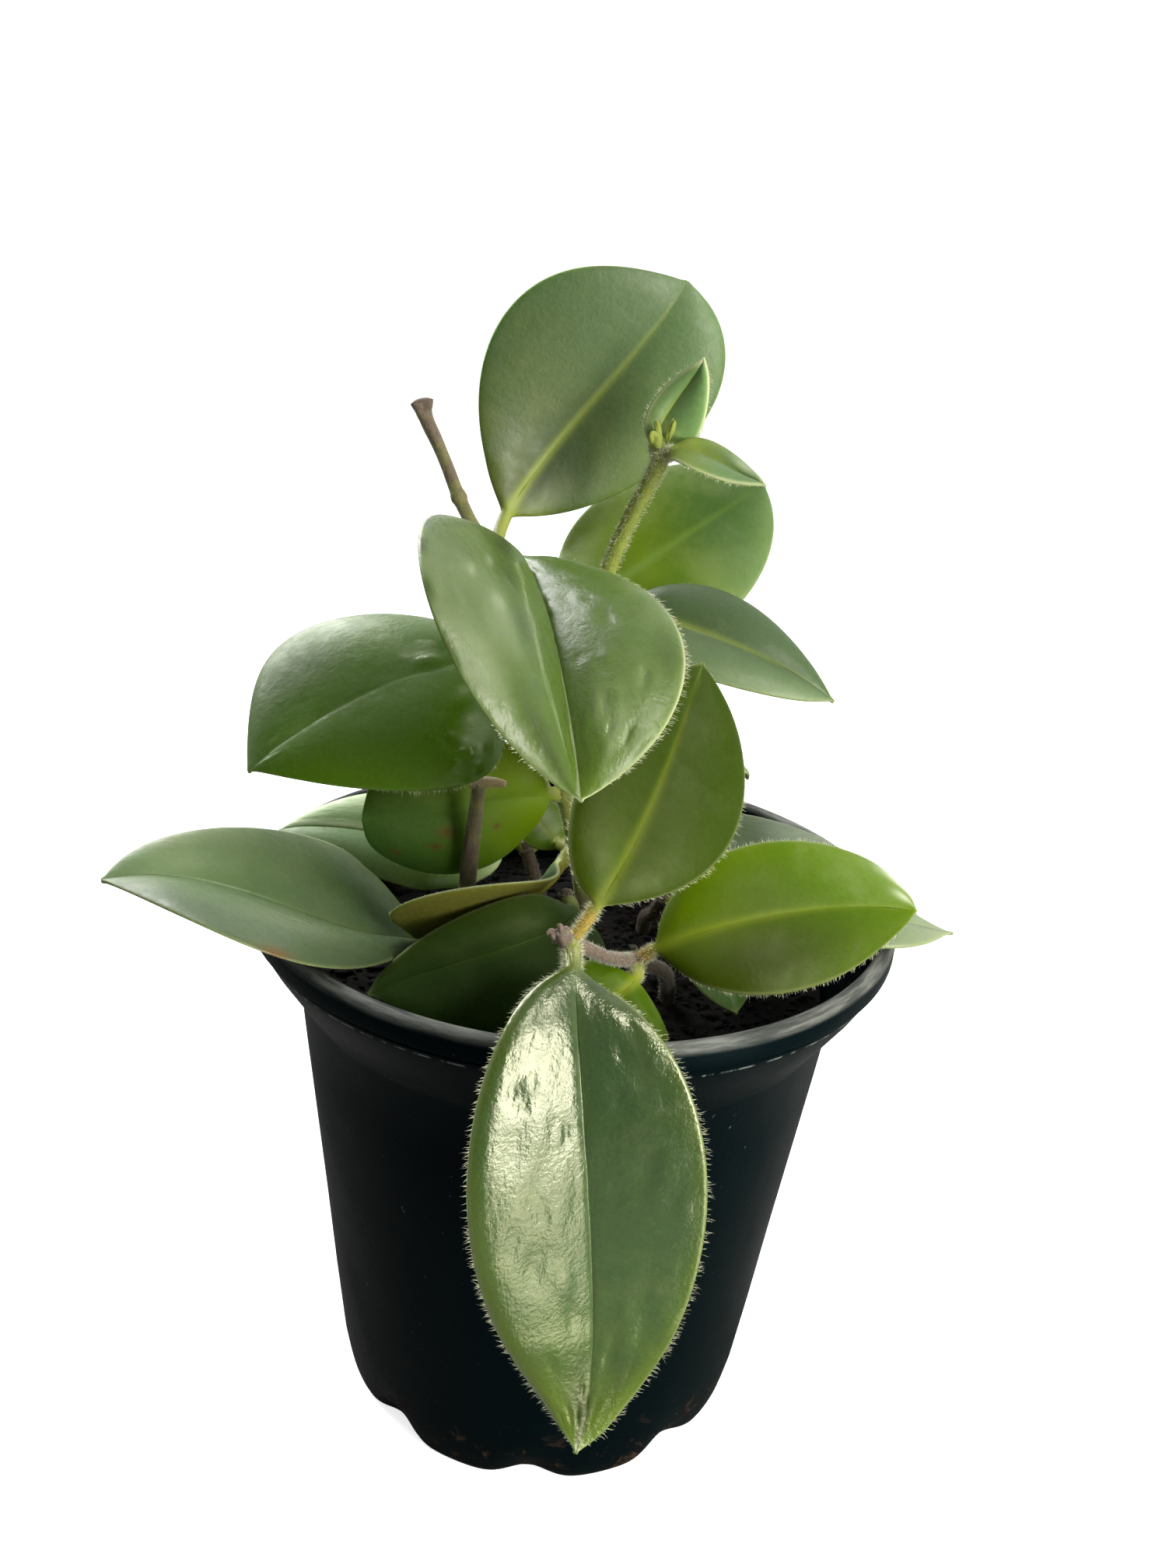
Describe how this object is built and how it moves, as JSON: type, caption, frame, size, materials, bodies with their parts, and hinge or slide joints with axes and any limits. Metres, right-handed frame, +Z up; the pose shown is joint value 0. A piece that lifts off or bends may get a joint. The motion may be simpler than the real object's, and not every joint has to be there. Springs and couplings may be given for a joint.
{
  "type": "potted lipstick plant",
  "caption": "Trailing house plant with thick oval leaves in pairs on arching stems, in a flared round nursery pot.",
  "frame": {"origin": "centre of the pot's flat base, where it rests", "axes": "+Z up along the pot's axis, -Y towards the side where a leaf hangs over the rim"},
  "size_m": [0.1242, 0.1264, 0.1867],
  "materials": {
    "pot": "satin black moulded plastic",
    "soil": "dark crumbly peat",
    "leaf": "waxy dark green",
    "young_leaf": "waxy yellow-green with fine hairs",
    "stem": "downy green-brown"
  },
  "bodies": {
    "root": {"leaf_back_left": "leaf", "leaf_back_rim": "leaf", "leaf_back_small": "leaf", "leaf_centre_forward": "leaf", "leaf_edge_on": "leaf", "leaf_front_curled": "young_leaf", "leaf_front_hanging": "young_leaf", "leaf_front_upright": "young_leaf", "leaf_inner_back": "leaf", "leaf_inner_front": "leaf", "leaf_inner_left": "young_leaf", "leaf_inner_small": "leaf", "leaf_left_back": "leaf", "leaf_left_rim": "leaf", "leaf_left_upper": "leaf", "leaf_middle_back": "leaf", "leaf_right_front": "young_leaf", "leaf_right_rim": "leaf", "leaf_shoot_back": "young_leaf", "leaf_shoot_right": "leaf", "leaf_shoot_side": "leaf", "leaf_shoot_tip": "leaf", "leaf_soil_right": "leaf", "leaf_top_tall": "leaf", "pot": "pot", "soil": "soil", "stem_back": "stem", "stem_centre": "stem", "stem_front": "stem", "stem_left": "stem", "stem_main": "stem", "stem_right": "stem"}
  },
  "joints": []
}
